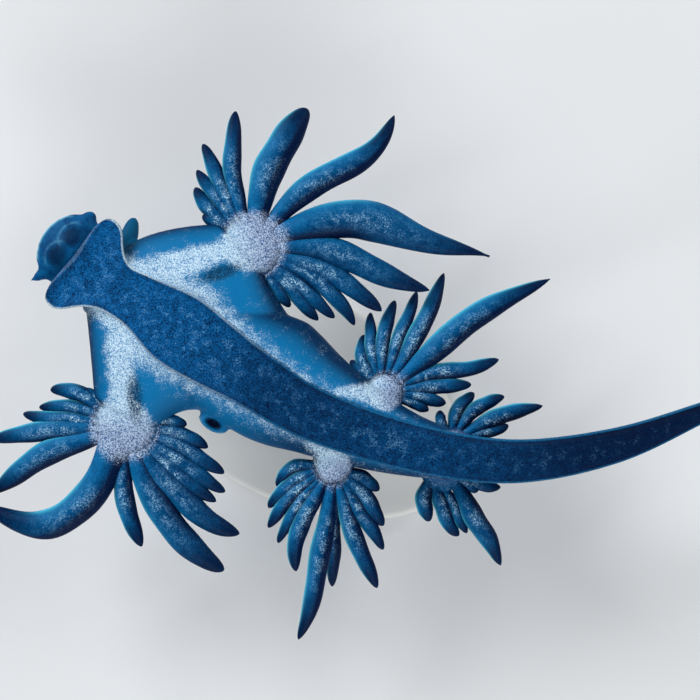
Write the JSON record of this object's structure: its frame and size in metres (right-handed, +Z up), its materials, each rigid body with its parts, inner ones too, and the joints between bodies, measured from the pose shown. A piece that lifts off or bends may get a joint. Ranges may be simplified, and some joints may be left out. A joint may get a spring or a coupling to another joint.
{
  "type": "blue dragon sea slug model",
  "caption": "Still, life-size model of a floating blue sea slug, belly up, with fans of finger-like cerata and a long curved tail, held over a small oval base by short rods.",
  "frame": {"origin": "the centre of the stand base's underside", "axes": "+Z up, out of the slug's belly; +X towards the tail; the animal's left side is towards +Y and its head points to -X and +Y"},
  "size_m": [0.0393, 0.0261, 0.0099],
  "materials": {
    "foot": "moist satin, deep blue with fine paler speckle and a thin pale edge",
    "skin": "moist satin, silvery white speckled skin that grades to azure at the flanks",
    "cerata": "moist satin, blue with darker tips, pale speckled stripes and cyan edges",
    "stand_base": "satin off-white",
    "stand_rod": "brushed bright steel"
  },
  "bodies": {
    "root": {"foot_front": "foot", "foot_middle": "foot", "foot_rear": "foot", "neck": "skin", "body_front": "skin", "body_middle": "skin", "body_rear": "skin", "tail_front": "foot", "tail_middle": "foot", "tail_tip": "foot", "head": "skin", "oral_tentacle_left": "skin", "rhinophore_left": "skin", "oral_tentacle_right": "skin", "rhinophore_right": "skin", "cerata_left_front_fore": "cerata", "cerata_left_front_middle": "cerata", "cerata_left_front_aft": "cerata", "arm_left_front": "skin", "cerata_right_front_fore": "cerata", "cerata_right_front_middle": "cerata", "cerata_right_front_aft": "cerata", "arm_right_front": "skin", "cerata_left_middle_fore": "cerata", "cerata_left_middle_aft": "cerata", "cerata_right_middle_fore": "cerata", "cerata_right_middle_middle": "cerata", "cerata_right_middle_aft": "cerata", "cerata_left_rear": "cerata", "cerata_right_rear": "cerata", "genital_papilla": "skin", "stand_base": "stand_base", "stand_rod_front": "stand_rod", "stand_rod_rear": "stand_rod"}
  },
  "joints": []
}
